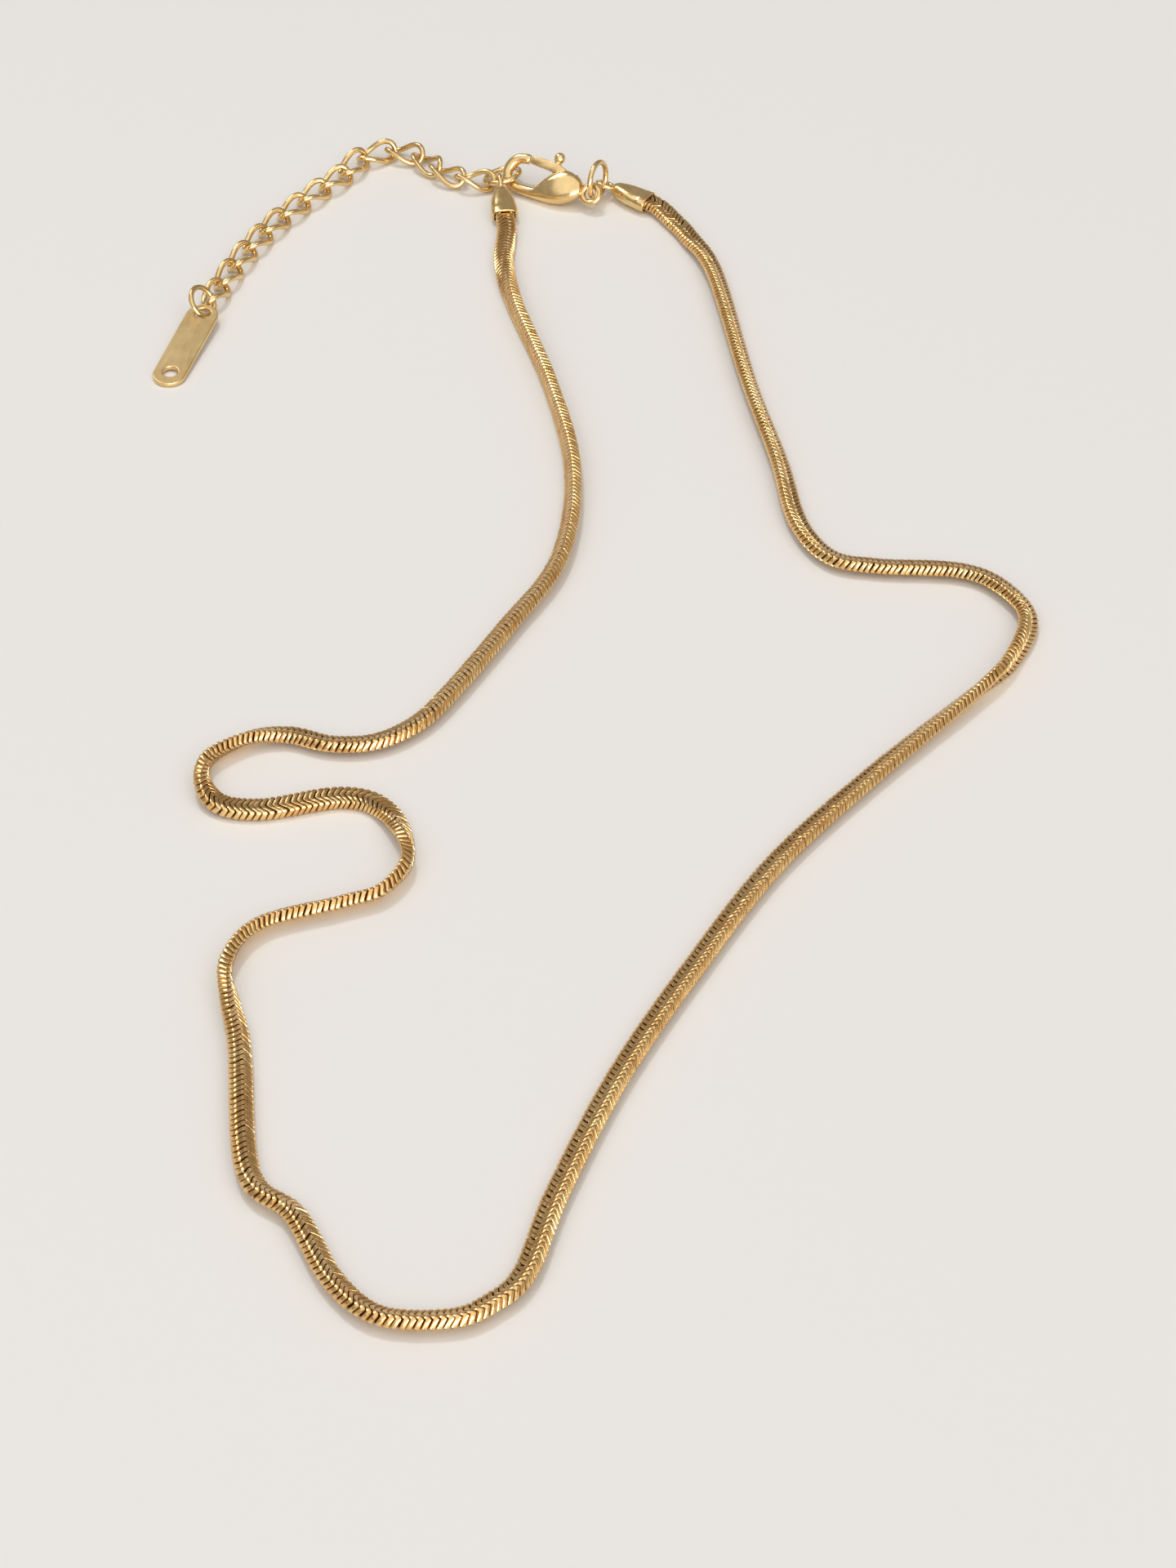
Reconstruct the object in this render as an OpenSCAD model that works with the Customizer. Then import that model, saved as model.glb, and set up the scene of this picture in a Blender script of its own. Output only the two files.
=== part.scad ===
// Choker: a thin flat chain laid out in a loose loop, closed by a lobster clasp,
// with an extender chain of curb links and a plain tag. Millimetres, +Z up.

/* [Chain] */
// Width across the broad face
chain_w = 2; // [1.8:0.1:2.4]
// Thickness
chain_t = 1.1; // [1:0.1:1.5]

/* [End caps] */
// Width of the mouth that takes the chain
cap_w = 2.9; // [2.8:0.1:3.2]
// Height of the mouth
cap_t = 1.76; // [1.7:0.02:1.9]
// Depth of the socket
cap_socket = 1.6; // [1.2:0.1:2]

/* [Rings] */
// Centreline radius of a jump ring
ring_r = 1.95; // [1.9:0.01:2]
// Wire diameter of a jump ring
ring_wire = 0.6; // [0.4:0.05:0.65]
// Centreline radius of a cap's soldered loop
loop_r = 0.95; // [0.9:0.01:1]
// Wire diameter of that loop
loop_wire = 0.56; // [0.4:0.02:0.6]

/* [Clasp] */
// Radius of the hinge pin
pin_r = 0.3; // [0.2:0.05:0.35]
// Running clearance of the lever on the pin
pin_gap = 0.05; // [0.02:0.01:0.1]
// Thickness of the lever
lever_t = 0.86; // [0.7:0.02:0.9]
// Width of the slot that the lever moves in
slot_w = 1.06; // [1:0.02:1.1]
// Radius of the thumb knob
knob_r = 0.62; // [0.5:0.02:0.7]

/* [Extender] */
// Half length of a link's centreline
link_a = 2.1; // [2.05:0.01:2.15]
// Half width of a link's centreline
link_b = 1.1; // [1.05:0.01:1.15]
// Twist of a link out of its plane
link_c = 0.6; // [0.55:0.01:0.62]
// Wire diameter of a link
link_wire = 0.6; // [0.4:0.02:0.62]

/* [Tag] */
// Length over both round ends
tag_l = 12.8; // [11:0.1:14]
// Width
tag_w = 3.4; // [3:0.1:4]
// Sheet thickness
tag_t = 0.5; // [0.4:0.05:0.6]
// Diameter of the free hole at the outer end
tag_hole = 1.6; // [1.2:0.1:1.8]
// Centreline radius of the tag's jump ring
tag_ring_r = 1.6; // [1.55:0.01:1.65]

/* [Hidden] */

gold = [0.80, 0.64, 0.38];

// middle of the outline in plan, taken off every piece
middle = [0.741, -0.892, -0.01];

// Route of the chain from the left cap round the front to the right cap.
// x, y, lift above resting on the floor, roll (right-hand side up, degrees)
chain_route = [
    [ -7.2,  66.9, 0.57,    0],
    [ -7.0,  65.0, 0.35,    0],
    [ -6.8,  62.8, 0.16,    0],
    [ -7.0,  57.1, 0.00,  -22],
    [ -5.7,  49.4, 0.00,  -72],
    [ -1.9,  35.7, 0.00,  -80],
    [  0.4,  21.9, 0.00,  -64],
    [ -0.8,   8.8, 0.00,  -46],
    [ -5.7,  -1.2, 0.00,  -33],
    [-10.8, -10.4, 0.00,  -30],
    [-13.6, -14.3, 0.00,  -27],
    [-17.1, -16.6, 0.00,  -26],
    [-21.1, -16.9, 0.00,  -25],
    [-25.0, -15.7, 0.00,  -24],
    [-28.8, -16.3, 0.00,  -45],
    [-32.2, -19.5, 0.00,  -77],
    [-31.2, -23.9, 0.00, -158],
    [-27.0, -25.0, 0.00, -178],
    [-19.7, -23.5, 0.00, -180],
    [-15.8, -25.4, 0.00, -166],
    [-13.7, -31.0, 0.00,  -90],
    [-15.6, -35.0, 0.00,  -54],
    [-19.1, -36.6, 0.00,  -46],
    [-26.0, -39.15, 0.00,  -48],
    [-28.4, -43.6, 0.00,  -82],
    [-27.7, -48.2, 0.00, -120],
    [-26.6, -53.0, 0.00, -133],
    [-24.9, -66.1, 0.00, -142],
    [-21.0, -70.2, 0.00, -144],
    [-17.7, -76.5, 0.00, -145],
    [-14.0, -79.9, 0.00, -146],
    [ -8.5, -80.2, 0.00, -147],
    [ -5.4, -78.7, 0.00, -149],
    [ -2.9, -75.8, 0.00, -150],
    [ -0.4, -67.8, 0.00, -151],
    [  4.5, -55.8, 0.00, -152],
    [ 10.9, -43.8, 0.00, -154],
    [ 18.3, -31.6, 0.00, -154],
    [ 27.5, -20.6, 0.00, -150],
    [ 36.5, -11.0, 0.00, -128],
    [ 40.8,  -6.0, 0.00,  -85],
    [ 43.0,   0.0, 0.00,  -47],
    [ 40.8,   4.8, 0.00,  -28],
    [ 37.0,   7.1, 0.00,  -24],
    [ 29.3,   7.7, 0.00,  -24],
    [ 24.9,   9.1, 0.00,  -27],
    [ 22.1,  14.4, 0.00,  -32],
    [ 20.7,  23.7, 0.00,  -44],
    [ 18.1,  36.8, 0.00,  -52],
    [ 15.3,  55.0, 0.00,  -38],
    [ 12.7,  62.0, 0.08,   -8],
    [ 10.9,  65.3, 0.20,    0],
    [  9.4,  67.5, 0.35,    0],
    [  7.4,  68.8, 0.49,    0]];
// knot at the front where the two halves meet, and the gap left there
meet = 30;
meet_gap = 0.1;
// spacing and turn aimed at between two sections of the chain
section_step = 5.6;
turn_step = 30;

// half of the chain's outline, the rest is the same turned half round
half_outline = [[1, 0.74], [0.88, 0.97], [0, 1], [-0.88, 0.97], [-1, 0.74]];
outline = [for (p = half_outline) [p[0] * chain_w / 2, p[1] * chain_t / 2],
           for (p = half_outline) [-p[0] * chain_w / 2, -p[1] * chain_t / 2]];

// Caps: mouth centre, centre of the soldered loop, normal of that loop
cap_left_at = [[-7.05, 65.6, 0.97], [-7.68, 70.86, 1.57], [0.993, 0.119, 0]];
cap_right_at = [[8.5, 68.15, 0.97], [3.85, 71.06, 1.29], [0.28, 0.38, 0.88]];
socket_gap = 0.14;
socket_power = 0.5;
cap_power = 0.8;
// distance from the mouth, half width and half height as shares of the mouth's
cap_form = [[0, 0.96, 0.94], [0.15, 1, 1], [0.9, 1, 1], [1.1, 0.97, 0.97], [2.4, 0.88, 0.99],
            [3.5, 0.68, 0.93], [4.2, 0.5, 0.8], [4.55, 0.32, 0.52]];

ring_left_at = [-7.44, 72.87, 1.29];
ring_left_normal = [-0.246, 0.213, 0.945];
ring_right_at = [2.96, 69.9, 2.68];
ring_right_normal = [0.894, -0.437, 0.095];

// Clasp: tail loop centre, turn about its length and heading; length runs along its own x
clasp_at = [2.2, 68.3, 1.97];
clasp_turn = [134, 0, 152];
tail_r = 0.95;
tail_wire = 0.7;
pin_at = [3.5, 0.75];
pin_l = 1.7;
knob_at = [4.8, 2.72];
knob_root = 1.7;
boss_r = 0.72;
nose_at = 8.5;
nose_out = 2.2;
nose_in = 1.1;
// outer edge x, y, inner edge x, y, half thickness
clasp_form = concat(
    [[7.95, 2.12, 8.05, 1.22, 0.40],
     [8.15, 2.18, 8.20, 1.12, 0.50]],
    [for (a = [90 : -30 : -90])
        [nose_at + nose_out * cos(a), nose_out * sin(a),
         nose_at + nose_in * cos(a), nose_in * sin(a), 0.53]],
    [[7.40, -2.25, 7.40, -1.12, 0.56],
     [6.20, -2.30, 6.50, -1.00, 0.66],
     [5.20, -2.30, 6.00, -0.40, 0.85],
     [4.30, -2.28, 5.50,  0.30, 1.00],
     [3.50, -2.15, 4.80,  1.00, 1.10],
     [2.80, -1.95, 3.90,  1.60, 1.12],
     [2.20, -1.60, 2.70,  1.75, 1.05],
     [1.60, -1.15, 1.70,  1.25, 0.90],
     [1.20, -0.75, 1.20,  0.75, 0.66],
     [1.00, -0.40, 1.00,  0.40, 0.40]]);
slot_form = [[2.2, -0.1], [6.8, -1.0], [7.3, 2.8], [2.2, 2.8]];
lever_form = [[2.95, 1.25], [3.6, 1.75], [4.6, 2.05], [6.2, 2.16], [7.35, 2.16], [7.62, 2.0],
              [7.82, 1.45], [7.78, 1.26], [6.6, 1.2], [5.2, 1.06], [4.4, 0.7], [3.9, 0.1], [3.0, 0.3]];

// Extender links: x, y, height, heading, slope, roll
link_route = [
    [-10.4,  72.3,  1.19, 175.5, -5.4, -1.5],
    [-13.5,  73.5,  1.10, 146,   -0.7,  1.9],
    [-15.7,  75.75, 1.03, 127,    5.2, -10],
    [-18.3,  77.7,  1.07, 160,    3.6, -6.2],
    [-21.4,  77.55, 1.05, 198,    6.4, -13.4],
    [-23.8,  75.35, 1.07, 238.6,  5.4, -11.3],
    [-25.7,  72.6,  0.93, 231,   0,    0],
    [-27.9,  69.9,  0.93, 232,   0,    0],
    [-29.9,  67.1,  0.93, 235,   0,    0],
    [-31.8,  64.2,  0.93, 240,   0,    0],
    [-33.4,  61.2,  0.93, 244,   0,    0],
    [-34.8,  58.1,  0.93, 248,   0,    0],
    [-36.0,  54.8,  0.93, 251,   0,    0],
    [-37.1,  51.5,  0.93, 252.3, -2.9, 4.6]];
link_sides = 6;
link_steps = 16;

// Tag's ring and the tag: outer hole's place, heading from ring to free end, slope,
// outer hole's distance from the free end
tag_ring_at = [-38.15, 49.0, 1.68];
tag_ring_normal = [0.744, -0.286, 0.604];
tag_at = [-40.67, 38.47, 0.4];
tag_heading = 254.1;
tag_slope = 3.8;
tag_edge = 1.9;
tag_ring_wire = 0.56;
// hole for the tag's ring, and how far it lies past the centre of the round end
inner_hole = 1.7;
inner_shift = 0.35;

small_fn = 40;

function unit(v) = v / norm(v);

// Catmull-Rom through four rows of any width
function blend4(a, b, c, d, t) =
    0.5 * (2 * b + (c - a) * t + (2 * a - 5 * b + 4 * c - d) * t * t + (3 * b - 3 * c + d - a) * t * t * t);
function row(P, k) = k < 0 ? 2 * P[0] - P[1] : k > len(P) - 1 ? 2 * P[len(P) - 1] - P[len(P) - 2] : P[k];
function along(P, t) = let (k = min(floor(t), len(P) - 2))
    blend4(row(P, k - 1), row(P, k), row(P, k + 1), row(P, k + 2), t - k);

// parameters of the sections between two knots of the chain
function span(k) = norm([for (j = [0, 1]) chain_route[k + 1][j] - chain_route[k][j]]);
function turn(k) = abs(chain_route[k + 1][3] - chain_route[k][3]);
function sections(first, last) = concat(
    [for (k = [first : last - 1]) let (n = max(1, round(span(k) / section_step), round(turn(k) / turn_step)))
        for (i = [0 : n - 1]) k + i / n],
    [last]);

function rest_height(roll) = max([for (p = outline) p[0] * sin(roll) + p[1] * cos(roll)]);
function chain_ring(t, back = 0) =
    let (r = along(chain_route, t),
         ahead = along(chain_route, min(t + 0.05, len(chain_route) - 1)),
         behind = along(chain_route, max(t - 0.05, 0)),
         d = unit([ahead[0] - behind[0], ahead[1] - behind[1], 0]),
         side = [d[1], -d[0], 0],
         wide = side * cos(r[3]) + [0, 0, sin(r[3])],
         up = [0, 0, cos(r[3])] - side * sin(r[3]),
         c = [r[0], r[1], r[2] + rest_height(r[3])] + d * back)
    [for (p = outline) c + wide * p[0] + up * p[1]];

// faces of rings joined one to the next; n points a ring
function side_faces(m, n, closed) = [for (i = [0 : (closed ? m : m - 1) - 1], j = [0 : n - 1])
    let (a = i * n, b = ((i + 1) % m) * n, k = (j + 1) % n)
    each [[a + j, b + k, b + j], [a + j, a + k, b + k]]];
function end_faces(m, n) = [[for (j = [n - 1 : -1 : 0]) j], [for (j = [0 : n - 1]) (m - 1) * n + j]];

module loft(rings, closed = false) {
    m = len(rings);
    n = len(rings[0]);
    polyhedron(points = [for (r = rings) each r],
               faces = closed ? side_faces(m, n, true) : concat(side_faces(m, n, false), end_faces(m, n)),
               convexity = 6);
}

module place() translate(-middle) children();

module turned_to(normal) {
    n = unit(normal);
    rotate([0, acos(n[2]), atan2(n[1], n[0])]) children();
}

module wire_ring(at, normal, r, wire) {
    translate(at) turned_to(normal)
        rotate_extrude($fn = small_fn) translate([r, 0]) circle(d = wire, $fn = small_fn / 2);
}

module chain_left() {
    color(gold) place() {
        t = sections(0, meet);
        loft([for (k = t) chain_ring(k, k == meet ? -meet_gap / 2 : 0)]);
    }
}

module chain_right() {
    color(gold) place() {
        t = sections(meet, len(chain_route) - 1);
        loft([for (k = t) chain_ring(k, k == meet ? meet_gap / 2 : 0)]);
    }
}

// rounded outline; the lower the power, the squarer its corners
function oval(c, side, up, w, h, n, power = 0.85) = [for (i = [0 : n - 1])
    let (a = 360 * i / n)
    c + side * w * sign(cos(a)) * pow(abs(cos(a)), power) + up * h * sign(sin(a)) * pow(abs(sin(a)), power)];

module cap(at) {
    along_cap = unit(at[1] - at[0]);
    side = unit(cross(along_cap, [0, 0, 1]));
    up = cross(side, along_cap);
    difference() {
        loft([for (f = cap_form)
            oval(at[0] + along_cap * f[0], side, up, f[1] * cap_w / 2, f[2] * cap_t / 2, 20, cap_power)]);
        loft([for (s = [-1, cap_socket])
            oval(at[0] + along_cap * s, side, up,
                 chain_w / 2 + socket_gap, chain_t / 2 + socket_gap, 20, socket_power)]);
    }
    wire_ring(at[1], at[2], loop_r, loop_wire);
}

module cap_left() {
    color(gold) place() cap(cap_left_at);
}

module cap_right() {
    color(gold) place() cap(cap_right_at);
}

module ring_left() {
    color(gold) place() wire_ring(ring_left_at, ring_left_normal, ring_r, ring_wire);
}

module ring_right() {
    color(gold) place() wire_ring(ring_right_at, ring_right_normal, ring_r, ring_wire);
}

module clasp_frame() {
    translate(clasp_at) rotate(clasp_turn) children();
}

function clasp_ring(t) = let (f = along(clasp_form, t),
    mid = [(f[0] + f[2]) / 2, (f[1] + f[3]) / 2, 0],
    half = [(f[2] - f[0]) / 2, (f[3] - f[1]) / 2, 0])
    oval(mid, half, [0, 0, 1], 1, f[4], 16);

module clasp_body() {
    color(gold) place() clasp_frame() {
        difference() {
            loft([for (t = [0 : 0.5 : len(clasp_form) - 1]) clasp_ring(t)]);
            translate([0, 0, -slot_w / 2]) linear_extrude(slot_w) polygon(slot_form);
        }
        translate([pin_at[0], pin_at[1], -pin_l / 2]) cylinder(r = pin_r, h = pin_l, $fn = small_fn);
        rotate_extrude($fn = small_fn) translate([tail_r, 0]) circle(d = tail_wire, $fn = small_fn / 2);
    }
}

module clasp_lever() {
    color(gold) place() clasp_frame() {
        difference() {
            union() {
                translate([0, 0, -lever_t / 2]) linear_extrude(lever_t) polygon(lever_form);
                translate([pin_at[0], pin_at[1], -lever_t / 2])
                    cylinder(r = boss_r, h = lever_t, $fn = small_fn);
            }
            translate([pin_at[0], pin_at[1], -lever_t])
                cylinder(r = pin_r + pin_gap, h = 2 * lever_t, $fn = small_fn);
        }
        translate([knob_at[0], knob_at[1], 0]) sphere(r = knob_r, $fn = 24);
        translate([knob_at[0], knob_root, 0]) rotate([-90, 0, 0])
            cylinder(r = lever_t / 2, h = knob_at[1] - knob_root, $fn = 24);
    }
}

// one ring of points round the wire of a link at the angle a
function link_ring(a) =
    let (c = [link_a * cos(a), link_b * sin(a), link_c * sin(2 * a)],
         d = unit([-link_a * sin(a), link_b * cos(a), 2 * link_c * cos(2 * a)]),
         flat = [link_b * cos(a), link_a * sin(a), 0],
         out = unit(flat - d * (flat * d)),
         over = cross(out, d))
    [for (i = [0 : link_sides - 1]) let (b = 360 * i / link_sides)
        c + (out * cos(b) + over * sin(b)) * link_wire / 2];

module link(i) {
    f = link_route[i];
    color(gold) place()
        translate([f[0], f[1], f[2]]) rotate([f[5], f[4], f[3]])
            loft([for (k = [0 : link_steps - 1]) link_ring(360 * k / link_steps)], true);
}

module extender_link_01() link(0);
module extender_link_02() link(1);
module extender_link_03() link(2);
module extender_link_04() link(3);
module extender_link_05() link(4);
module extender_link_06() link(5);
module extender_link_07() link(6);
module extender_link_08() link(7);
module extender_link_09() link(8);
module extender_link_10() link(9);
module extender_link_11() link(10);
module extender_link_12() link(11);
module extender_link_13() link(12);
module extender_link_14() link(13);

module tag_ring() {
    color(gold) place() wire_ring(tag_ring_at, tag_ring_normal, tag_ring_r, tag_ring_wire);
}

// the tag's own frame: outer hole at the origin, free end towards +x
module tag() {
    reach = tag_l - tag_w;
    shift = tag_edge - tag_w / 2;
    color(gold) place() translate(tag_at) rotate([0, 0, tag_heading]) rotate([0, tag_slope, 0])
        difference() {
            union() {
                translate([shift - reach, -tag_w / 2, -tag_t / 2]) cube([reach, tag_w, tag_t]);
                for (x = [shift, shift - reach])
                    translate([x, 0, -tag_t / 2]) cylinder(d = tag_w, h = tag_t, $fn = small_fn);
            }
            translate([0, 0, -tag_t]) cylinder(d = tag_hole, h = 2 * tag_t, $fn = small_fn);
            translate([shift - reach - inner_shift, 0, -tag_t])
                cylinder(d = inner_hole, h = 2 * tag_t, $fn = small_fn);
        }
}

chain_left();
chain_right();
cap_left();
cap_right();
ring_left();
ring_right();
clasp_body();
clasp_lever();
extender_link_01();
extender_link_02();
extender_link_03();
extender_link_04();
extender_link_05();
extender_link_06();
extender_link_07();
extender_link_08();
extender_link_09();
extender_link_10();
extender_link_11();
extender_link_12();
extender_link_13();
extender_link_14();
tag_ring();
tag();
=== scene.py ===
import math

import bmesh
import bpy
import numpy as np
from mathutils import Euler, Matrix, Vector


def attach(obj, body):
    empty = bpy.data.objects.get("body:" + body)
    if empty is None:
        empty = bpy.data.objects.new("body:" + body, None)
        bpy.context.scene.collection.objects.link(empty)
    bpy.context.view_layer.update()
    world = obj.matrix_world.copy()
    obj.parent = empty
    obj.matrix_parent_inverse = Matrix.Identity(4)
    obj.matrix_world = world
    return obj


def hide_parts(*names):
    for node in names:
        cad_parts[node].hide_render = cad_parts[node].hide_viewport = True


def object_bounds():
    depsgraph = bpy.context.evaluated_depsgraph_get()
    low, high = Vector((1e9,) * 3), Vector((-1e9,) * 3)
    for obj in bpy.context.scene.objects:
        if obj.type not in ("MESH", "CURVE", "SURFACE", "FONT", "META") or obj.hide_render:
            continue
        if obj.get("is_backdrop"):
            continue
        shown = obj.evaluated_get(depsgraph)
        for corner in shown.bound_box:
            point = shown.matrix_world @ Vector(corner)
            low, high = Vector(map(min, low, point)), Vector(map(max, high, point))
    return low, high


mm = 0.001

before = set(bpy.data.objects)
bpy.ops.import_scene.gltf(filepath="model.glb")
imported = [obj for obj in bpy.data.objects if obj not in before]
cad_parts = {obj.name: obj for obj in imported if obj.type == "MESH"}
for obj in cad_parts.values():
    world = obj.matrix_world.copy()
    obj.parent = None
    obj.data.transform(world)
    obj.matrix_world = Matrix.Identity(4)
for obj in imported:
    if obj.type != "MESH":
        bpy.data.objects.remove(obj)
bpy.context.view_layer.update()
middle = Vector((0.741, -0.892, -0.01))  # taken off every place below, as in the source


# small helpers

weldWithin = 0.002


def deselectAll():
    if bpy.context.mode != "OBJECT":
        bpy.ops.object.mode_set(mode="OBJECT")
    bpy.ops.object.select_all(action="DESELECT")


def useOnly(piece):
    deselectAll()
    piece.select_set(True)
    bpy.context.view_layer.objects.active = piece


def placeInMesh(piece, matrix=None):
    # the piece's place goes into its mesh, and its object ends at the origin
    if matrix is not None:
        piece.matrix_world = matrix @ piece.matrix_world
    useOnly(piece)
    bpy.ops.object.transform_apply(location=True, rotation=True, scale=True)


def applyAll(piece):
    useOnly(piece)
    for modifier in list(piece.modifiers):
        bpy.ops.object.modifier_apply(modifier=modifier.name)


def cutOrAdd(piece, other, how):
    # boolean with another piece, which is used up
    boolean = piece.modifiers.new("boolean", "BOOLEAN")
    boolean.operation = how
    boolean.solver = "EXACT"
    boolean.object = other
    applyAll(piece)
    bpy.data.objects.remove(other)


def tidyMesh(piece, smoothBelow=40):
    # welds doubles, turns the faces outward and smooths edges flatter than the angle
    useOnly(piece)
    bpy.ops.object.mode_set(mode="EDIT")
    bpy.ops.mesh.select_all(action="SELECT")
    bpy.ops.mesh.remove_doubles(threshold=weldWithin * mm)
    bpy.ops.mesh.normals_make_consistent(inside=False)
    bpy.ops.object.mode_set(mode="OBJECT")
    bpy.ops.object.shade_smooth_by_angle(angle=math.radians(smoothBelow))


def pickFaces(piece, wanted):
    # in edit mode, selects the faces whose middle, in millimetres, suits
    mesh = bmesh.from_edit_mesh(piece.data)
    bpy.context.tool_settings.mesh_select_mode = (False, False, True)
    mesh.select_mode = {"FACE"}
    for face in mesh.faces:
        face.select = wanted(face.calc_center_median() / mm)
    mesh.select_flush_mode()
    bmesh.update_edit_mesh(piece.data)


def softenEdges(piece, width, sharperThan=50, segments=2):
    bevel = piece.modifiers.new("bevel", "BEVEL")
    bevel.limit_method = "ANGLE"
    bevel.angle_limit = math.radians(sharperThan)
    bevel.width = width * mm
    bevel.segments = segments
    bevel.use_clamp_overlap = True
    applyAll(piece)


def flattenLarge(piece, area):
    # broad flat faces keep their own normal, so that the soft edge doesn't shade them as a dish
    for face in piece.data.polygons:
        if face.area > area * mm * mm:
            face.use_smooth = False


def finishPiece(piece, body, material, nodeNames):
    piece.data.materials.clear()
    piece.data.materials.append(material)
    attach(piece, body)
    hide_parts(*nodeNames)
    print(f"{piece.name}: {len(piece.data.polygons)} faces")


def turnedTo(normal):
    return Vector(normal).to_track_quat("Z", "Y").to_matrix().to_4x4()


def alongRows(rows, t):
    # Catmull-Rom through the rows of a table, as in the source
    last = len(rows) - 1
    k = min(int(math.floor(t)), last - 1)
    f = t - k

    def at(i):
        if i < 0:
            return 2 * rows[0] - rows[1]
        if i > last:
            return 2 * rows[last] - rows[last - 1]
        return rows[i]

    a, b, c, d = at(k - 1), at(k), at(k + 1), at(k + 2)
    return 0.5 * (2 * b + (c - a) * f + (2 * a - 5 * b + 4 * c - d) * f ** 2
                  + (3 * b - 3 * c + d - a) * f ** 3)


def sampleRows(table, perRow):
    # the rows of a table with smooth steps between them
    rows = np.array(table, float)
    last = len(rows) - 1
    return [alongRows(rows, t) for t in np.linspace(0, last, last * perRow + 1)]


# materials

goldTones = {
    "chainBright": (0.92, 0.66, 0.31),
    "chainWarm": (0.81, 0.505, 0.20),
    "fittingBright": (0.86, 0.65, 0.33),
    "fittingWarm": (0.75, 0.525, 0.24),
    # the dark tone of the painted shade in the chain's gaps and on its broad faces
    "paintedShade": (0.28, 0.15, 0.055),
}

goldGrain = {
    # the tone drifts slowly between bright and warm
    "driftScale": 420.0, "driftDetail": 3.0, "driftRoughness": 0.6, "driftRange": (0.35, 0.65),
    # the wear varies the roughness
    "wearDetail": 4.0, "wearRoughness": 0.65, "wearRange": (0.3, 0.7),
    # the dents are coarser than the wear by this share
    "dentShare": 0.6, "dentDetail": 2.0, "dentStrength": 0.35,
    # how far a brushed finish is drawn out
    "strokeLength": 30,
}

mixA, mixB, mixResult = 6, 7, 2  # the colour sockets of a Mix node


def goldFinish(name, bright, warm, roughness, grain, dentDepth, brushed=None):
    # plated brass, with brushed as the heading in degrees that the wear is drawn out along
    material = bpy.data.materials.new(name)
    material.use_nodes = True
    tree = material.node_tree
    connect = tree.links.new
    shader = tree.nodes["Principled BSDF"]
    shader.inputs["Metallic"].default_value = 1.0

    def node(kind, **values):
        made = tree.nodes.new(kind)
        for key, value in values.items():
            if hasattr(made, key):
                setattr(made, key, value)
            else:
                made.inputs[key].default_value = value
        return made

    def spread(source, fromRange, toRange=(0, 1)):
        mapped = node("ShaderNodeMapRange", **{
            "From Min": fromRange[0], "From Max": fromRange[1],
            "To Min": toRange[0], "To Max": toRange[1],
        })
        connect(source.outputs["Fac"], mapped.inputs["Value"])
        return mapped.outputs["Result"]

    place = node("ShaderNodeTexCoord").outputs["Object"]
    drawnOut = place
    if brushed is not None:
        strokes = node("ShaderNodeMapping", vector_type="TEXTURE",
                       Rotation=(0, 0, math.radians(brushed)),
                       Scale=(goldGrain["strokeLength"], 1, 1))
        connect(place, strokes.inputs["Vector"])
        drawnOut = strokes.outputs["Vector"]

    drift = node("ShaderNodeTexNoise", Scale=goldGrain["driftScale"],
                 Detail=goldGrain["driftDetail"], Roughness=goldGrain["driftRoughness"])
    wear = node("ShaderNodeTexNoise", Scale=grain,
                Detail=goldGrain["wearDetail"], Roughness=goldGrain["wearRoughness"])
    dents = node("ShaderNodeTexNoise", Scale=grain * goldGrain["dentShare"],
                 Detail=goldGrain["dentDetail"])
    connect(place, drift.inputs["Vector"])
    connect(drawnOut, wear.inputs["Vector"])
    connect(drawnOut, dents.inputs["Vector"])

    tone = node("ShaderNodeMix", data_type="RGBA")
    tone.inputs[mixA].default_value = (*goldTones[bright], 1)
    tone.inputs[mixB].default_value = (*goldTones[warm], 1)
    connect(spread(drift, goldGrain["driftRange"]), tone.inputs["Factor"])
    # painted shade: the chain's gaps are mixed fully, and the middles of its broad faces partly,
    # toward a dark shade tone that stands in for the shade falling there
    paintedShade = node("ShaderNodeAttribute", attribute_name="paintedShade")
    paintedShadeMix = node("ShaderNodeMix", data_type="RGBA")
    paintedShadeMix.inputs[mixB].default_value = (*goldTones["paintedShade"], 1)
    connect(paintedShade.outputs["Fac"], paintedShadeMix.inputs["Factor"])
    connect(tone.outputs[mixResult], paintedShadeMix.inputs[mixA])
    connect(paintedShadeMix.outputs[mixResult], shader.inputs["Base Color"])

    connect(spread(wear, goldGrain["wearRange"], roughness), shader.inputs["Roughness"])
    bump = node("ShaderNodeBump", Strength=goldGrain["dentStrength"], Distance=dentDepth * mm)
    connect(dents.outputs["Fac"], bump.inputs["Height"])
    connect(bump.outputs["Normal"], shader.inputs["Normal"])
    return material


chainGold = goldFinish("chain_gold_polished", "chainBright", "chainWarm",
                       roughness=(0.16, 0.34), grain=2600.0, dentDepth=0.02)
fittingGold = goldFinish("fitting_gold_polished", "fittingBright", "fittingWarm",
                         roughness=(0.14, 0.3), grain=1500.0, dentDepth=0.02)
print("gold finishes ready")


# chain: one woven link, arrayed straight, then laid along the route

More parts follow.
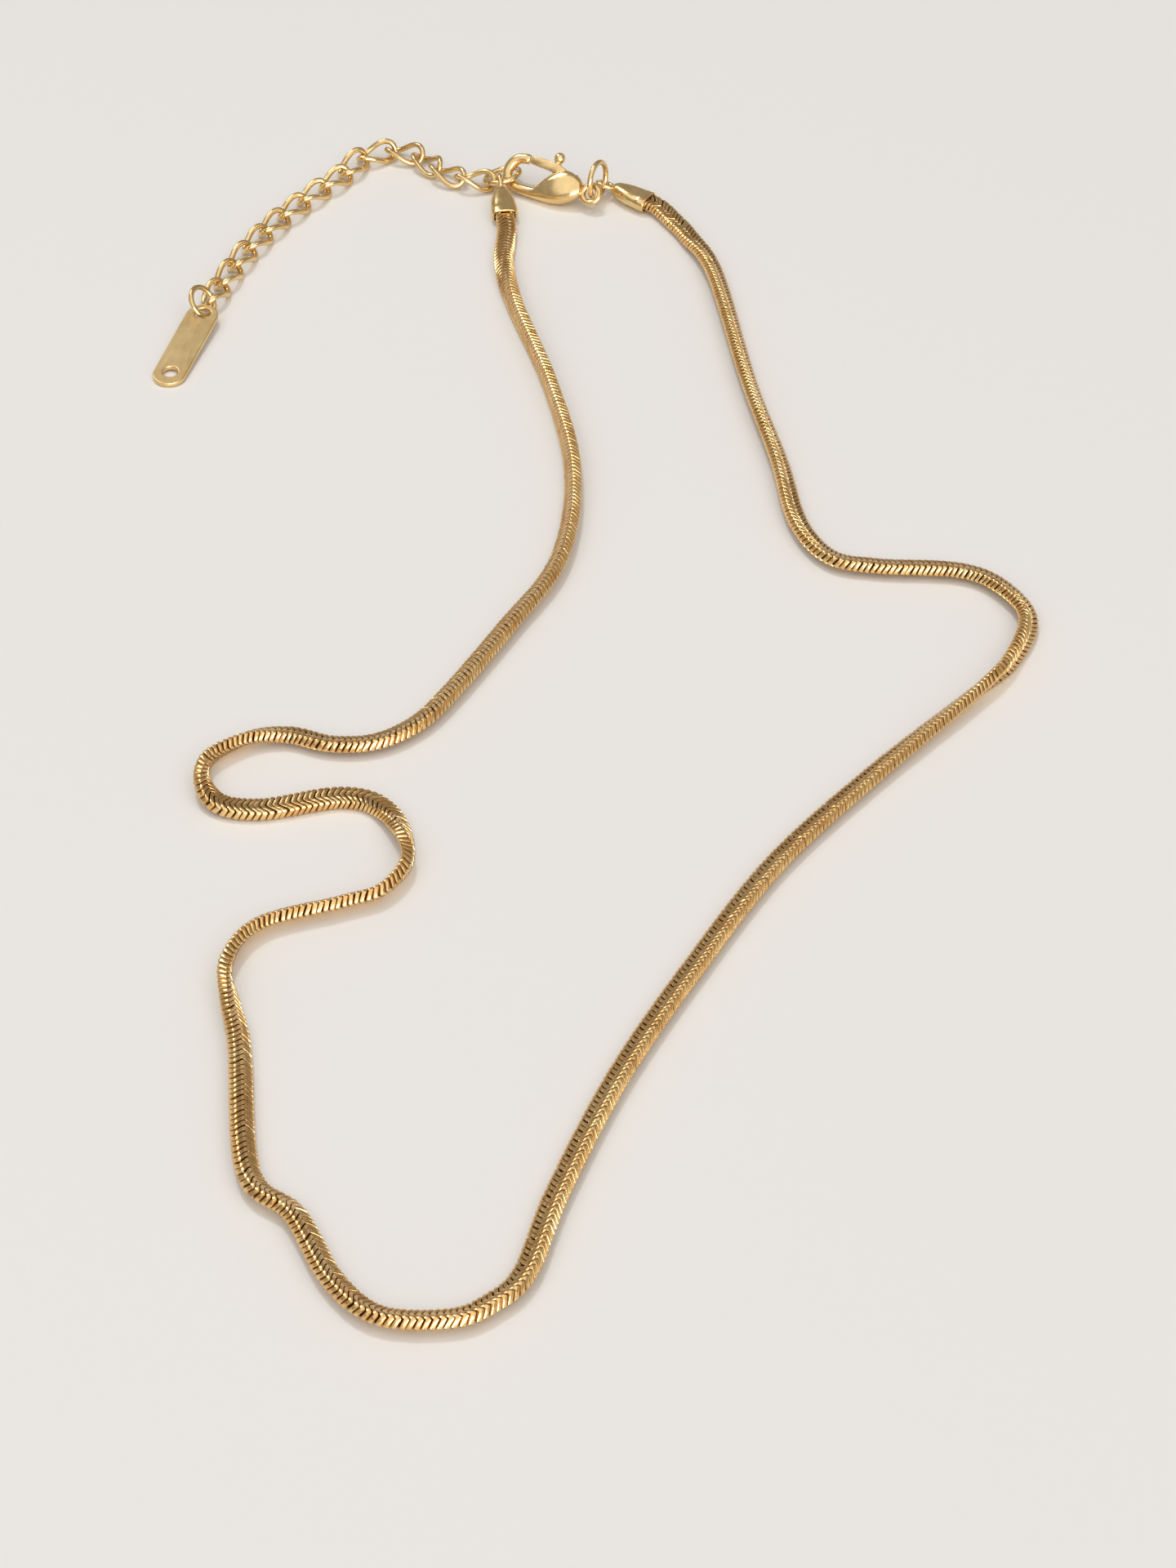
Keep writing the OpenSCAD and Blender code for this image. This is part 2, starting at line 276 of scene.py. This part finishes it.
chain = {
    "pitch": 0.54,
    "meetKnot": 30,  # the row of the route where the two halves meet
    # x, y, lift above resting on the floor, roll in degrees, right-hand side up
    "route": [
        (-7.2, 66.9, 0.57, 0), (-7, 65, 0.35, 0), (-6.8, 62.8, 0.16, 0), (-7, 57.1, 0, -22),
        (-5.7, 49.4, 0, -72), (-1.9, 35.7, 0, -80), (0.4, 21.9, 0, -64), (-0.8, 8.8, 0, -46),
        (-5.7, -1.2, 0, -33), (-10.8, -10.4, 0, -30), (-13.6, -14.3, 0, -27),
        (-17.1, -16.6, 0, -26), (-21.1, -16.9, 0, -25), (-25, -15.7, 0, -24),
        (-28.8, -16.3, 0, -45), (-32.2, -19.5, 0, -77), (-31.2, -23.9, 0, -158),
        (-27, -25, 0, -178), (-19.7, -23.5, 0, -180), (-15.8, -25.4, 0, -166),
        (-13.7, -31, 0, -90), (-15.6, -35.0, 0, -54), (-19.1, -36.6, 0, -46),
        (-26, -39.15, 0, -48), (-28.4, -43.6, 0, -82), (-27.7, -48.2, 0, -120),
        (-26.6, -53, 0, -133), (-24.9, -66.1, 0, -142), (-21, -70.2, 0, -144),
        (-17.7, -76.5, 0, -145), (-14, -79.9, 0, -146), (-8.5, -80.2, 0, -147),
        (-5.4, -78.7, 0, -149), (-2.9, -75.8, 0, -150), (-0.4, -67.8, 0, -151),
        (4.5, -55.8, 0, -152), (10.9, -43.8, 0, -154), (18.3, -31.6, 0, -154),
        (27.5, -20.6, 0, -150), (36.5, -11, 0, -128), (40.8, -6, 0, -85), (43, 0, 0, -47),
        (40.8, 4.8, 0, -28), (37, 7.1, 0, -24), (29.3, 7.7, 0, -24), (24.9, 9.1, 0, -27),
        (22.1, 14.4, 0, -32), (20.7, 23.7, 0, -44), (18.1, 36.8, 0, -52), (15.3, 55, 0, -38),
        (12.7, 62, 0.08, -8), (10.9, 65.3, 0.2, 0), (9.4, 67.5, 0.35, 0), (7.4, 68.8, 0.49, 0),
    ],
    "stepsPerRow": 12, "headingReach": 0.05,
    # half of the section that rests on the floor
    "outline": [(1.03, 0.37), (0.89, 0.54), (0.58, 0.59), (-0.58, 0.59), (-0.89, 0.54),
                (-1.03, 0.37)],
    # half of a link, from the middle of its broad face round the edge:
    # across, up, offset along the chain, swell, half breadth
    "stations": [
        (0.00, 0.47, -0.40, 0.02, 0.20), (0.30, 0.50, -0.22, 0.04, 0.20),
        (0.58, 0.54, 0.06, 0.05, 0.20), (0.86, 0.49, 0.32, 0.06, 0.20),
        (0.99, 0.36, 0.40, 0.04, 0.18), (0.99, -0.36, 0.05, 0.04, 0.18),
        (0.86, -0.49, 0.06, 0.06, 0.20), (0.58, -0.54, -0.06, 0.05, 0.20),
        (0.30, -0.50, -0.26, 0.04, 0.20),
    ],
    "wallDepth": 0.19,
    # painted shade: the broad faces, within this reach of their middle, are painted darker than
    # the edges, for the shade and dark surroundings that they face
    "faceShadeReach": 0.8, "faceShade": 0.34,
    # no two links sit quite alike
    "unevenSeed": 11, "lean": 0.022, "tilt": 0.05, "thinner": 0.02,
    "smoothBelow": 35,
}


def restHeight(roll):
    # height of the section's middle when it rests on the floor at that roll
    corners = chain["outline"] + [(-a, -b) for a, b in chain["outline"]]
    sine, cosine = math.sin(math.radians(roll)), math.cos(math.radians(roll))
    return max(a * sine + b * cosine for a, b in corners)


def denseRoute(first, last):
    # centre points, cross and upward directions, and the length run so far, in millimetres
    rows = np.array(chain["route"], float)
    reach = chain["headingReach"]
    count = int(round((last - first) * chain["stepsPerRow"])) + 1
    knots = np.linspace(first, last, count)
    spots = np.array([alongRows(rows, t) for t in knots])
    ahead = np.array([alongRows(rows, min(t + reach, len(rows) - 1)) for t in knots])
    behind = np.array([alongRows(rows, max(t - reach, 0)) for t in knots])
    run = ahead[:, :2] - behind[:, :2]
    run /= np.linalg.norm(run, axis=1)[:, None]
    side = np.stack([run[:, 1], -run[:, 0], np.zeros(count)], 1)
    rise = np.array([0, 0, 1.0])
    roll = np.radians(spots[:, 3])[:, None]
    wide = side * np.cos(roll) + rise * np.sin(roll)
    up = rise * np.cos(roll) - side * np.sin(roll)
    height = spots[:, 2] + [restHeight(degrees) for degrees in spots[:, 3]]
    centre = np.stack([spots[:, 0], spots[:, 1], height], 1) - np.array(middle)
    gone = np.concatenate([[0], np.cumsum(np.linalg.norm(np.diff(centre, axis=0), axis=1))])
    return centre, wide, up, gone


def makeLink():
    # a band round the chain's section, shaped from a torus with a segment for each station
    half = chain["stations"]
    stations = half + [(-s[0], -s[1]) + s[2:] for s in half]
    edge, depth = chain["pitch"] / 2, chain["wallDepth"]
    crownPoints, rootPoints = 3, 2
    deselectAll()
    bpy.ops.mesh.primitive_torus_add(major_segments=len(stations),
                                     minor_segments=crownPoints + rootPoints)
    link = bpy.context.object
    # painted shade: how far each point's tone is mixed toward the dark shade tone, fully in the
    # gaps between links
    paintedShade = link.data.attributes.new("paintedShade", "FLOAT", "POINT")
    point = 0
    for i, (across, upward, offset, swell, breadth) in enumerate(stations):
        after, before = stations[(i + 1) % len(stations)], stations[i - 1]
        out = Vector((0, before[1] - after[1], after[0] - before[0])).normalized()
        if out.dot(Vector((0, across, upward))) < 0:
            out.negate()
        spot = Vector((offset, across, upward))
        profile = [(-breadth, 0), (0, swell), (breadth, 0), (edge, -depth), (-edge, -depth)]
        # painted shade on the middle of the broad faces, darker than at the edges
        crownShade = chain["faceShade"] if abs(across) < chain["faceShadeReach"] else 0.0
        shades = [crownShade] * crownPoints + [1.0] * rootPoints
        for (run, lift), shade in zip(profile, shades):
            link.data.vertices[point].co = spot + Vector((run, 0, 0)) + out * lift
            paintedShade.data[point].value = shade
            point += 1
    return link


def layChain(name, link, first, last):
    centre, wide, up, gone = denseRoute(first, last)
    count = int(round(gone[-1] / chain["pitch"]))
    pitch = gone[-1] / count
    useOnly(link)
    bpy.ops.object.duplicate(linked=False)
    piece = bpy.context.view_layer.objects.active
    piece.name = piece.data.name = name
    array = piece.modifiers.new("array", "ARRAY")
    array.use_relative_offset = False
    array.use_constant_offset = True
    array.constant_offset_displace = (pitch, 0, 0)
    array.count = count
    applyAll(piece)

    flat = np.zeros(len(piece.data.vertices) * 3)
    piece.data.vertices.foreach_get("co", flat)
    flat = flat.reshape(-1, 3)
    chances = np.random.default_rng(chain["unevenSeed"]).normal(0, 1, (count, 3))
    lean, tilt, thinner = np.repeat(chances, len(flat) // count, axis=0).T
    flat[:, 0] += chain["lean"] * lean * flat[:, 1] + chain["tilt"] * tilt * flat[:, 2]
    flat[:, 2] *= 1 - chain["thinner"] * np.abs(thinner)
    run = flat[:, 0] + pitch / 2

    def at(values):
        return np.stack([np.interp(run, gone, values[:, k]) for k in range(3)], 1)

    slack = np.clip(run, 0, gone[-1]) - run  # beyond the ends the chain goes on straight
    ahead = at(np.gradient(centre, gone, axis=0))
    laid = at(centre) - ahead * slack[:, None] + at(wide) * flat[:, 1:2] + at(up) * flat[:, 2:3]
    piece.data.vertices.foreach_set("co", (laid * mm).astype(np.float32).ravel())
    piece.data.update()
    print(f"{name}: {count} links of {pitch:.3f} mm")

    useOnly(piece)
    bpy.ops.object.mode_set(mode="EDIT")
    bpy.ops.mesh.select_all(action="SELECT")
    bpy.ops.mesh.normals_make_consistent(inside=False)
    bpy.ops.object.mode_set(mode="OBJECT")
    bpy.ops.object.shade_smooth_by_angle(angle=math.radians(chain["smoothBelow"]))
    return piece


link = makeLink()
for name, node, first, last in (
    ("chainLeftHalf", "chain_left", 0, chain["meetKnot"]),
    ("chainRightHalf", "chain_right", chain["meetKnot"], len(chain["route"]) - 1),
):
    half = layChain(name, link, first, last)
    finishPiece(half, "necklace", chainGold, [node])
bpy.data.objects.remove(link)


# how the fittings are made

ringSegments, wireSides, rodSides = 128, 14, 40
cutterLength = 2  # longer than any plate that a hole goes through
castSmooth = 35


def inFrame(place, turn=None):
    matrix = Matrix.Translation((Vector(place) - middle) * mm)
    return matrix if turn is None else matrix @ turn.to_4x4()


def turnedBy(roll, slope, heading):
    return Euler([math.radians(angle) for angle in (roll, slope, heading)], "XYZ").to_matrix()


def wireRing(name, radius, wire, cut=True):
    # a torus, with one narrow slice out of it where a jump ring's ends meet
    deselectAll()
    bpy.ops.mesh.primitive_torus_add(major_segments=ringSegments, minor_segments=wireSides,
                                     major_radius=radius * mm, minor_radius=wire / 2 * mm)
    ring = bpy.context.object
    ring.name = ring.data.name = name
    if cut:
        cutAngle = math.tau / ringSegments
        bpy.ops.object.mode_set(mode="EDIT")
        pickFaces(ring, lambda at: 0 < math.atan2(at.y, at.x) < cutAngle)
        bpy.ops.mesh.delete(type="FACE")
        bpy.ops.mesh.select_all(action="SELECT")
        bpy.ops.mesh.fill_holes(sides=0)
        bpy.ops.object.mode_set(mode="OBJECT")
    return ring


def rolledTube(name, rings):
    # a grid rolled up, with one row of its points for each ring, then closed at both ends
    around = len(rings[0])
    deselectAll()
    bpy.ops.mesh.primitive_grid_add(x_subdivisions=around, y_subdivisions=len(rings) - 1)
    tube = bpy.context.object
    tube.name = tube.data.name = name
    spots = np.array([list(p) for ring in rings for p in list(ring) + [ring[0]]]) * mm
    tube.data.vertices.foreach_set("co", spots.astype(np.float32).ravel())
    tube.data.update()
    tidyMesh(tube)
    bpy.ops.object.mode_set(mode="EDIT")
    bpy.ops.mesh.select_all(action="SELECT")
    bpy.ops.mesh.fill_holes(sides=0)
    bpy.ops.mesh.normals_make_consistent(inside=False)
    bpy.ops.object.mode_set(mode="OBJECT")
    return tube


def plate(name, outline, thickness):
    # a filled outline, extruded to its thickness about the middle plane
    deselectAll()
    bpy.ops.mesh.primitive_circle_add(vertices=len(outline), fill_type="NGON")
    sheet = bpy.context.object
    sheet.name = sheet.data.name = name
    for vertex, (x, y) in zip(sheet.data.vertices, outline):
        vertex.co = Vector((x, y, -thickness / 2)) * mm
    bpy.ops.object.mode_set(mode="EDIT")
    bpy.ops.mesh.select_all(action="SELECT")
    bpy.ops.mesh.extrude_region_move(TRANSFORM_OT_translate={"value": (0, 0, thickness * mm)})
    bpy.ops.mesh.select_all(action="SELECT")
    bpy.ops.mesh.normals_make_consistent(inside=False)
    bpy.ops.object.mode_set(mode="OBJECT")
    return sheet


def rod(radius, length, place, turn=(0, 0, 0)):
    deselectAll()
    bpy.ops.mesh.primitive_cylinder_add(vertices=rodSides, radius=radius * mm, depth=length * mm,
                                        location=Vector(place) * mm, rotation=turn)
    piece = bpy.context.object
    placeInMesh(piece)
    return piece


def ovalRing(middleAt, side, up, width, height, power, count):
    spots = []
    for i in range(count):
        c, s = math.cos(math.tau * i / count), math.sin(math.tau * i / count)
        spots.append(middleAt + side * (width * math.copysign(abs(c) ** power, c))
                     + up * (height * math.copysign(abs(s) ** power, s)))
    return spots


# the two end caps: a tapered sleeve with a socket for the chain and a soldered loop

cap = {
    "width": 2.9, "height": 1.76, "power": 0.8, "sides": 48,
    # distance from the mouth, half width and half height as shares of the mouth's
    "form": [(0, 0.96, 0.94), (0.15, 1, 1), (0.5, 1, 1), (0.9, 1, 1), (1.1, 0.97, 0.97),
             (2.4, 0.88, 0.99), (3.5, 0.68, 0.93), (4.2, 0.5, 0.8), (4.55, 0.32, 0.52)],
    "stepsPerRow": 2,
    "socket": (2.26, 1.3, 1.6), "socketOut": 1, "socketCorner": 0.34,
    "rimSoft": 0.05,
    "loopRadius": 0.95, "loopWire": 0.56,
    # node, mouth, middle of the loop, normal of the loop
    "pieces": {
        "capLeft": ("cap_left", (-7.05, 65.6, 0.97), (-7.68, 70.86, 1.57), (0.993, 0.119, 0)),
        "capRight": ("cap_right", (8.5, 68.15, 0.97), (3.85, 71.06, 1.29), (0.28, 0.38, 0.88)),
    },
}

for name, (node, mouth, loopAt, loopNormal) in cap["pieces"].items():
    ahead = (Vector(loopAt) - Vector(mouth)).normalized()
    side = Vector((0, 0, 1)).cross(ahead).normalized()
    turn = Matrix((side, ahead.cross(side), ahead)).transposed()
    rings = [
        ovalRing(Vector((0, 0, reach)), Vector((1, 0, 0)), Vector((0, 1, 0)),
                 w * cap["width"] / 2, h * cap["height"] / 2, cap["power"], cap["sides"])
        for reach, w, h in sampleRows(cap["form"], cap["stepsPerRow"])
    ]
    sleeve = rolledTube(name, rings)
    wide, high, deep = cap["socket"]
    deselectAll()
    bpy.ops.mesh.primitive_cube_add(
        size=1, location=(0, 0, (deep - cap["socketOut"]) / 2 * mm),
        scale=(wide * mm, high * mm, (deep + cap["socketOut"]) * mm))
    hollow = bpy.context.object
    placeInMesh(hollow)
    softenEdges(hollow, cap["socketCorner"], segments=3)
    cutOrAdd(sleeve, hollow, "DIFFERENCE")
    softenEdges(sleeve, cap["rimSoft"])
    placeInMesh(sleeve, inFrame(mouth, turn))
    loop = wireRing("loop", cap["loopRadius"], cap["loopWire"], cut=False)
    placeInMesh(loop, inFrame(loopAt, turnedTo(loopNormal)))
    cutOrAdd(sleeve, loop, "UNION")
    tidyMesh(sleeve, castSmooth)
    finishPiece(sleeve, "necklace", fittingGold, [node])


# jump rings

jumpRings = {
    # node, place, normal, radius, wire
    "pieces": {
        "ringLeft": ("ring_left", (-7.44, 72.87, 1.29), (-0.246, 0.213, 0.945), 1.95, 0.6),
        "ringRight": ("ring_right", (2.96, 69.9, 2.68), (0.894, -0.437, 0.095), 1.95, 0.6),
        "tagRing": ("tag_ring", (-38.15, 49.0, 1.68), (0.744, -0.286, 0.604), 1.6, 0.56),
    },
    "smoothBelow": 50,
}

for name, (node, place, normal, radius, wire) in jumpRings["pieces"].items():
    ring = wireRing(name, radius, wire)
    placeInMesh(ring, inFrame(place, turnedTo(normal)))
    tidyMesh(ring, jumpRings["smoothBelow"])
    finishPiece(ring, "necklace", fittingGold, [node])


# lobster clasp: a cast hook with a slot, a pin and a tail loop, and a lever with a thumb knob

clasp = {
    "place": (2.2, 68.3, 1.97), "turn": (134, 0, 152),
    "tailRadius": 0.95, "tailWire": 0.7,
    "pinAt": (3.5, 0.75), "pinRadius": 0.3, "pinLength": 1.7, "pinGap": 0.05,
    "noseAt": 8.5, "noseOut": 2.2, "noseIn": 1.1, "noseThick": 0.53, "noseAngles": (90, -91, -30),
    # from the tip round the nose and back to the tail: outer edge x, y, inner edge x, y,
    # half thickness
    "tip": [(7.95, 2.12, 8.05, 1.22, 0.40), (8.15, 2.18, 8.20, 1.12, 0.50)],
    "back": [(7.40, -2.25, 7.40, -1.12, 0.56), (6.20, -2.30, 6.50, -1.00, 0.66),
             (5.20, -2.30, 6.00, -0.40, 0.85), (4.30, -2.28, 5.50, 0.30, 1.00),
             (3.50, -2.15, 4.80, 1.00, 1.10), (2.80, -1.95, 3.90, 1.60, 1.12),
             (2.20, -1.60, 2.70, 1.75, 1.05), (1.60, -1.15, 1.70, 1.25, 0.90),
             (1.20, -0.75, 1.20, 0.75, 0.66), (1.00, -0.40, 1.00, 0.40, 0.40)],
    "stepsPerRow": 3, "power": 0.85, "sides": 32, "hookSoft": 0.06,
    "slot": [(2.2, -0.1), (6.8, -1.0), (7.3, 2.8), (2.2, 2.8)], "slotWidth": 1.06,
    "lever": [(2.95, 1.25), (3.6, 1.75), (4.6, 2.05), (6.2, 2.16), (7.35, 2.16), (7.62, 2.0),
              (7.82, 1.45), (7.78, 1.26), (6.6, 1.2), (5.2, 1.06), (4.4, 0.7), (3.9, 0.1),
              (3.0, 0.3)],
    "leverThickness": 0.86, "leverSoft": 0.12, "leverSharperThan": 25,
    "bossRadius": 0.72, "bossSoft": 0.1,
    "knobAt": (4.8, 2.72), "knobRadius": 0.62, "knobRoot": 1.7,
    "knobSegments": 40, "knobRings": 24,
}
claspFrame = inFrame(clasp["place"], turnedBy(*clasp["turn"]))
pinAt = (*clasp["pinAt"], 0)

nose = []
for angle in range(*clasp["noseAngles"]):
    c, s = math.cos(math.radians(angle)), math.sin(math.radians(angle))
    nose.append((clasp["noseAt"] + clasp["noseOut"] * c, clasp["noseOut"] * s,
                 clasp["noseAt"] + clasp["noseIn"] * c, clasp["noseIn"] * s, clasp["noseThick"]))
rings = []
for row in sampleRows(clasp["tip"] + nose + clasp["back"], clasp["stepsPerRow"]):
    outX, outY, inX, inY, thick = row
    half = Vector(((inX - outX) / 2, (inY - outY) / 2, 0))
    rings.append(ovalRing(Vector(((outX + inX) / 2, (outY + inY) / 2, 0)), half,
                          Vector((0, 0, 1)), 1, thick, clasp["power"], clasp["sides"]))
hook = rolledTube("claspBody", rings)
cutOrAdd(hook, plate("slot", clasp["slot"], clasp["slotWidth"]), "DIFFERENCE")
softenEdges(hook, clasp["hookSoft"])
cutOrAdd(hook, rod(clasp["pinRadius"], clasp["pinLength"], pinAt), "UNION")
tail = wireRing("tail", clasp["tailRadius"], clasp["tailWire"], cut=False)
cutOrAdd(hook, tail, "UNION")
placeInMesh(hook, claspFrame)
tidyMesh(hook, castSmooth)
finishPiece(hook, "necklace", fittingGold, ["clasp_body"])

lever = plate("claspLever", clasp["lever"], clasp["leverThickness"])
softenEdges(lever, clasp["leverSoft"], clasp["leverSharperThan"], segments=3)
boss = rod(clasp["bossRadius"], clasp["leverThickness"], pinAt)
softenEdges(boss, clasp["bossSoft"])
cutOrAdd(lever, boss, "UNION")
tidyMesh(lever)  # slivers between the two soft edges would leave faces inside the next unions
knobX, knobY = clasp["knobAt"]
stem = rod(clasp["leverThickness"] / 2, knobY - clasp["knobRoot"],
           (knobX, (knobY + clasp["knobRoot"]) / 2, 0), (math.radians(90), 0, 0))
cutOrAdd(lever, stem, "UNION")
deselectAll()
bpy.ops.mesh.primitive_uv_sphere_add(
    segments=clasp["knobSegments"], ring_count=clasp["knobRings"],
    radius=clasp["knobRadius"] * mm, location=(knobX * mm, knobY * mm, 0))
knob = bpy.context.object
placeInMesh(knob)
cutOrAdd(lever, knob, "UNION")
pinHole = rod(clasp["pinRadius"] + clasp["pinGap"], cutterLength, pinAt)
cutOrAdd(lever, pinHole, "DIFFERENCE")
placeInMesh(lever, claspFrame)
tidyMesh(lever, castSmooth)
finishPiece(lever, "lever", fittingGold, ["clasp_lever"])


# extender: one twisted curb link from a bent circle, copied for each place

extender = {
    "halfLength": 2.1, "halfWidth": 1.1, "wire": 0.6,
    # the wire's steepest rise for one turn round the link, and the handles that draw a circle
    "rise": 1.449, "handle": 0.5523,
    "stepsPerQuarter": 12, "wireRounding": 4, "smoothBelow": 60,
    # x, y, height, heading, slope, roll
    "places": [
        (-10.4, 72.3, 1.19, 175.5, -5.4, -1.5), (-13.5, 73.5, 1.10, 146, -0.7, 1.9),
        (-15.7, 75.75, 1.03, 127, 5.2, -10), (-18.3, 77.7, 1.07, 160, 3.6, -6.2),
        (-21.4, 77.55, 1.05, 198, 6.4, -13.4), (-23.8, 75.35, 1.07, 238.6, 5.4, -11.3),
        (-25.7, 72.6, 0.93, 231, 0, 0), (-27.9, 69.9, 0.93, 232, 0, 0),
        (-29.9, 67.1, 0.93, 235, 0, 0), (-31.8, 64.2, 0.93, 240, 0, 0),
        (-33.4, 61.2, 0.93, 244, 0, 0), (-34.8, 58.1, 0.93, 248, 0, 0),
        (-36.0, 54.8, 0.93, 251, 0, 0), (-37.1, 51.5, 0.93, 252.3, -2.9, 4.6),
    ],
}

deselectAll()
bpy.ops.curve.primitive_bezier_circle_add(radius=1)
curb = bpy.context.object
for point, angle in zip(curb.data.splines[0].bezier_points, (0, 90, 180, 270)):
    c, s = math.cos(math.radians(angle)), math.sin(math.radians(angle))
    spot = Vector((extender["halfLength"] * c, extender["halfWidth"] * s, 0)) * mm
    pull = Vector((-extender["halfLength"] * s, extender["halfWidth"] * c,
                   extender["rise"] * math.cos(math.radians(2 * angle)))) * extender["handle"] * mm
    point.handle_left_type = point.handle_right_type = "FREE"
    point.co, point.handle_left, point.handle_right = spot, spot - pull, spot + pull
curb.data.resolution_u = extender["stepsPerQuarter"]
curb.data.bevel_depth = extender["wire"] / 2 * mm
curb.data.bevel_resolution = extender["wireRounding"]
useOnly(curb)
bpy.ops.object.convert(target="MESH")
curb = bpy.context.object
tidyMesh(curb, extender["smoothBelow"])
for i, (x, y, z, heading, slope, roll) in enumerate(extender["places"], 1):
    useOnly(curb)
    bpy.ops.object.duplicate(linked=False)
    piece = bpy.context.object
    piece.name = piece.data.name = f"curbLink{i:02d}"
    placeInMesh(piece, inFrame((x, y, z), turnedBy(roll, slope, heading)))
    finishPiece(piece, "necklace", fittingGold, [f"extender_link_{i:02d}"])
bpy.data.objects.remove(curb)


# tag: a bare stamped plate with round ends and two holes, brushed along its length

tag = {
    "length": 12.8, "width": 3.4, "thickness": 0.5, "shift": 0.2, "arcSteps": 32,
    "outerHole": 1.6, "innerHole": 1.7, "innerShift": 0.35,
    "edgeSoft": 0.1, "smoothBelow": 32, "flatFrom": 0.3,
    "place": (-40.67, 38.47, 0.4), "heading": 254.1, "slope": 3.8,
}
tagGold = goldFinish("tag_gold_brushed", "fittingBright", "fittingWarm",
                     roughness=(0.28, 0.42), grain=9500.0, dentDepth=0.006,
                     brushed=tag["heading"])

reach = tag["length"] - tag["width"]
outline = []
for centreX, first in ((tag["shift"], -90), (tag["shift"] - reach, 90)):
    for k in range(tag["arcSteps"] + 1):
        a = math.radians(first + 180 * k / tag["arcSteps"])
        outline.append((centreX + tag["width"] / 2 * math.cos(a), tag["width"] / 2 * math.sin(a)))
tagPlate = plate("tagPlate", outline, tag["thickness"])
innerX = tag["shift"] - reach - tag["innerShift"]
for width, x in ((tag["outerHole"], 0), (tag["innerHole"], innerX)):
    cutOrAdd(tagPlate, rod(width / 2, cutterLength, (x, 0, 0)), "DIFFERENCE")
softenEdges(tagPlate, tag["edgeSoft"], segments=3)
placeInMesh(tagPlate, inFrame(tag["place"], turnedBy(0, tag["slope"], tag["heading"])))
tidyMesh(tagPlate, tag["smoothBelow"])
flattenLarge(tagPlate, tag["flatFrom"])
finishPiece(tagPlate, "necklace", tagGold, ["tag"])


# floor, light and camera

studio = {
    "floorSize": 3.0, "floorTone": (0.90, 0.895, 0.885), "floorRoughness": 0.6, "floorShine": 0.2,
    "worldTone": (0.36, 0.335, 0.31),
    # panels that face the middle of the floor: place, width and height, brightness, tone,
    # whether it lights the floor, whether it shows in the gold
    "panels": {
        "ceilingPanel": ((0.0, -0.42, 0.9), (2.0, 1.7), 0.77, (1.0, 0.985, 0.965), True, True),
        "keyPanel": ((-0.16, 0.36, 1.2), (0.17, 0.17), 33.0, (1.0, 1.0, 1.0), True, False),
        "northPanel": ((-0.60, 0.62, 0.95), (0.5, 0.5), 5.2, (0.95, 0.98, 1.0), False, True),
        "windowPanel": ((0.30, -1.15, 0.30), (1.25, 0.42), 10.0, (1.0, 1.0, 0.97), False, True),
    },
}

bpy.ops.mesh.primitive_plane_add(size=studio["floorSize"], location=(0, 0, 0))
floor = bpy.context.object
floor.name = "paleFloor"
floorPaint = bpy.data.materials.new("pale_floor")
floorPaint.use_nodes = True
floorShader = floorPaint.node_tree.nodes["Principled BSDF"]
floorShader.inputs["Base Color"].default_value = (*studio["floorTone"], 1)
floorShader.inputs["Roughness"].default_value = studio["floorRoughness"]
floorShader.inputs["Specular IOR Level"].default_value = studio["floorShine"]
floor.data.materials.append(floorPaint)
floor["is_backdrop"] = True

world = bpy.data.worlds.new("softRoom")
bpy.context.scene.world = world
world.use_nodes = True
world.node_tree.nodes["Background"].inputs["Color"].default_value = (*studio["worldTone"], 1)

for name, (place, size, brightness, tone, onFloor, inGold) in studio["panels"].items():
    bpy.ops.object.light_add(type="AREA", location=place)
    panel = bpy.context.object
    panel.name = name
    panel.data.shape = "RECTANGLE"
    panel.data.size, panel.data.size_y = size
    panel.data.energy = brightness * math.pi * size[0] * size[1]
    panel.data.color = tone
    panel.visible_diffuse, panel.visible_glossy = onFloor, inGold
    panel.rotation_euler = (-panel.location).to_track_quat("-Z", "Y").to_euler()
print("floor and light ready")

eye = {
    "lens": 75.0, "sensor": 36.0, "near": 0.01, "far": 20,
    "place": (1.159, -228.508, 202.51), "pitchDown": 44.2,
}
camera = bpy.data.objects.new("camera", bpy.data.cameras.new("camera"))
bpy.context.collection.objects.link(camera)
camera.location = Vector(eye["place"]) * mm
camera.rotation_euler = (math.radians(90 - eye["pitchDown"]), 0, 0)
camera.data.lens = eye["lens"]
camera.data.sensor_width = eye["sensor"]
camera.data.clip_start, camera.data.clip_end = eye["near"], eye["far"]
bpy.context.scene.camera = camera
bpy.context.scene.view_settings.view_transform = "Standard"
print("camera ready")

low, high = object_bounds()
